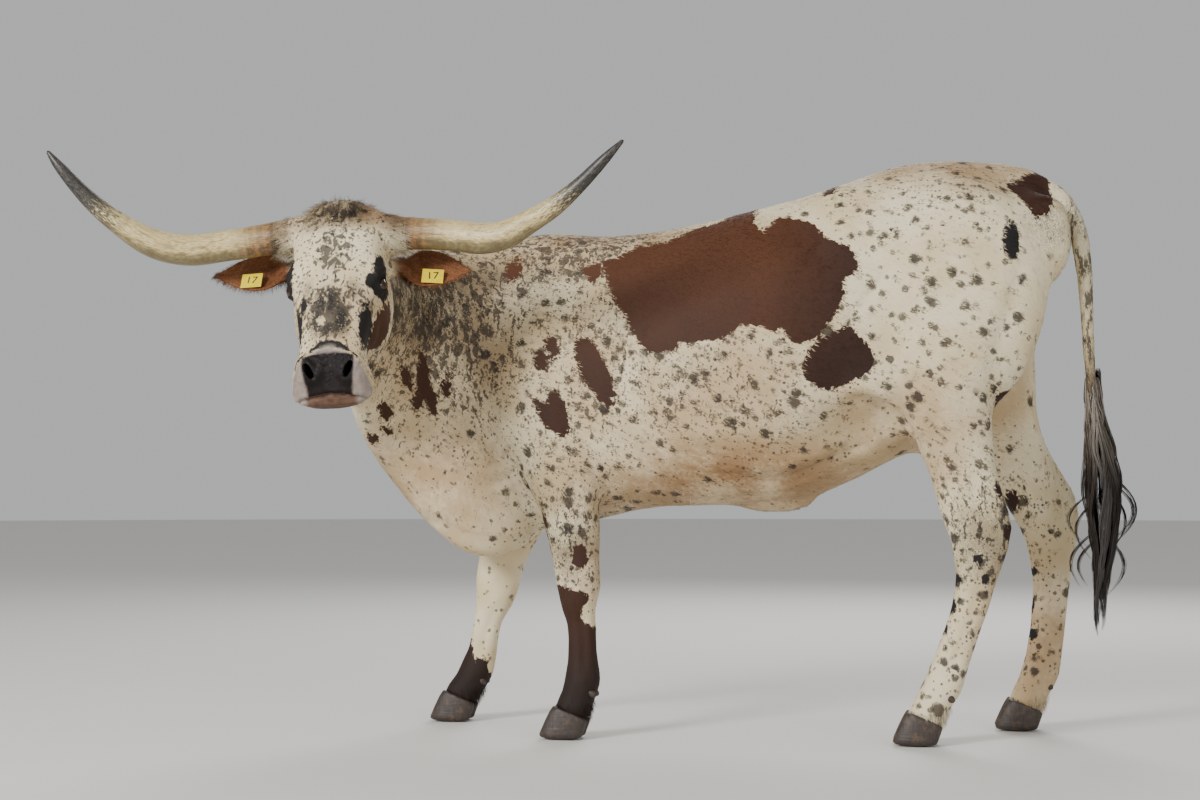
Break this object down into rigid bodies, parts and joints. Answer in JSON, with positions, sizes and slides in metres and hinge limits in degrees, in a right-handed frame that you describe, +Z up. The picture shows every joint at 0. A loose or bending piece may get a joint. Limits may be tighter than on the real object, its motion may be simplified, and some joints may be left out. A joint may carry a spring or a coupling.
{
  "type": "texas longhorn steer",
  "caption": "Still life-size model of a standing longhorn steer, head turned to its left, with wide upswept horns, spotted coat and a plastic tag in each ear.",
  "frame": {"origin": "on the floor, under the middle of the bounding box", "axes": "+Z up; the steer faces -X and its left side faces -Y; its head is turned towards -Y"},
  "size_m": [2.5586, 1.1314, 1.4782],
  "materials": {
    "coat": "short flat hair over hide, cream with chestnut patches and dark speckles",
    "long_hair": "long coarse hair",
    "eye": "wet",
    "horn": "satin keratin",
    "claw_horn": "worn keratin",
    "tag_plastic": "satin yellow plastic"
  },
  "bodies": {
    "root": {"head": "coat", "neck": "coat", "torso": "coat", "tail": "coat", "leg_front_left": "coat", "leg_front_right": "coat", "leg_hind_left": "coat", "leg_hind_right": "coat", "tail_switch": "long_hair", "ear_left": "coat", "ear_right": "coat", "eye_left": "eye", "eye_right": "eye", "horn_left": "horn", "horn_right": "horn", "claw_front_left_left": "claw_horn", "dewclaw_front_left_left": "claw_horn", "claw_front_left_right": "claw_horn", "dewclaw_front_left_right": "claw_horn", "claw_front_right_left": "claw_horn", "dewclaw_front_right_left": "claw_horn", "claw_front_right_right": "claw_horn", "dewclaw_front_right_right": "claw_horn", "claw_hind_left_left": "claw_horn", "dewclaw_hind_left_left": "claw_horn", "claw_hind_left_right": "claw_horn", "dewclaw_hind_left_right": "claw_horn", "claw_hind_right_left": "claw_horn", "dewclaw_hind_right_left": "claw_horn", "claw_hind_right_right": "claw_horn", "dewclaw_hind_right_right": "claw_horn", "tag_left": "tag_plastic", "tag_right": "tag_plastic"}
  },
  "joints": []
}
